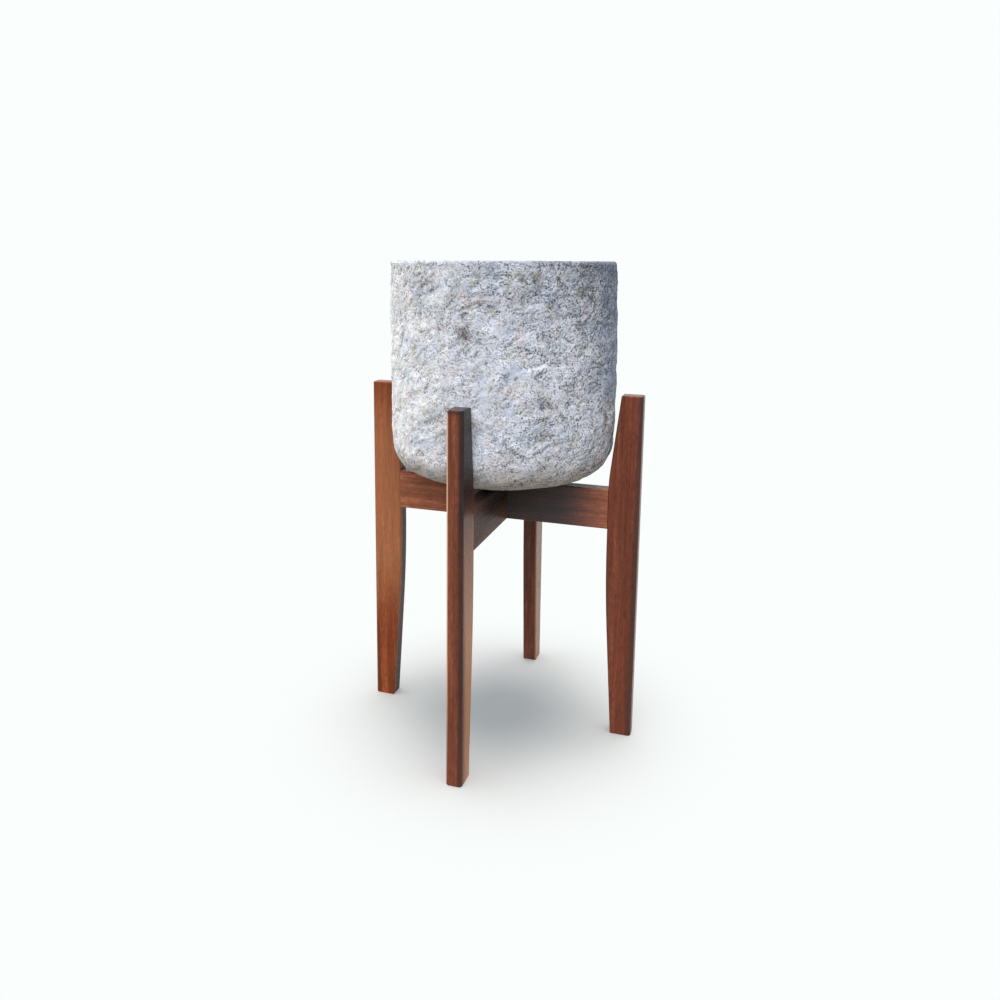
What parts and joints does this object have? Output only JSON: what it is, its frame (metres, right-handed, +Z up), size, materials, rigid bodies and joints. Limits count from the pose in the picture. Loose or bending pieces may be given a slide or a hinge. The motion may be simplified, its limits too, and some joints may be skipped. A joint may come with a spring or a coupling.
{
  "type": "planter with stand",
  "caption": "Round cement pot with a dished base, held between the tapered legs and on the crossed rails of a wooden plant stand; the pot lifts out.",
  "frame": {"origin": "centre of the stand's footprint on the floor", "axes": "+Z up along the pot's axis, +X to the right leg, -Y to the front leg; the rails run along X and Y"},
  "size_m": [0.377, 0.377, 0.635],
  "materials": {
    "pot_cement": "rough, chipped and pitted",
    "leg_wood": "satin oil",
    "rail_wood": "satin oil",
    "dowel_wood": "plain"
  },
  "bodies": {
    "stand": {"leg_right": "leg_wood", "leg_back": "leg_wood", "leg_left": "leg_wood", "leg_front": "leg_wood", "rail_left_right": "rail_wood", "rail_front_back": "rail_wood", "dowel_right_upper": "dowel_wood", "dowel_right_lower": "dowel_wood", "dowel_back_upper": "dowel_wood", "dowel_back_lower": "dowel_wood", "dowel_left_upper": "dowel_wood", "dowel_left_lower": "dowel_wood", "dowel_front_upper": "dowel_wood", "dowel_front_lower": "dowel_wood"},
    "pot": {"pot": "pot_cement"}
  },
  "joints": [
    {"name": "pot_lift", "type": "slide", "parent": "stand", "child": "pot", "axis": [0, 0, 1], "range_m": [0, 0.15]}
  ]
}
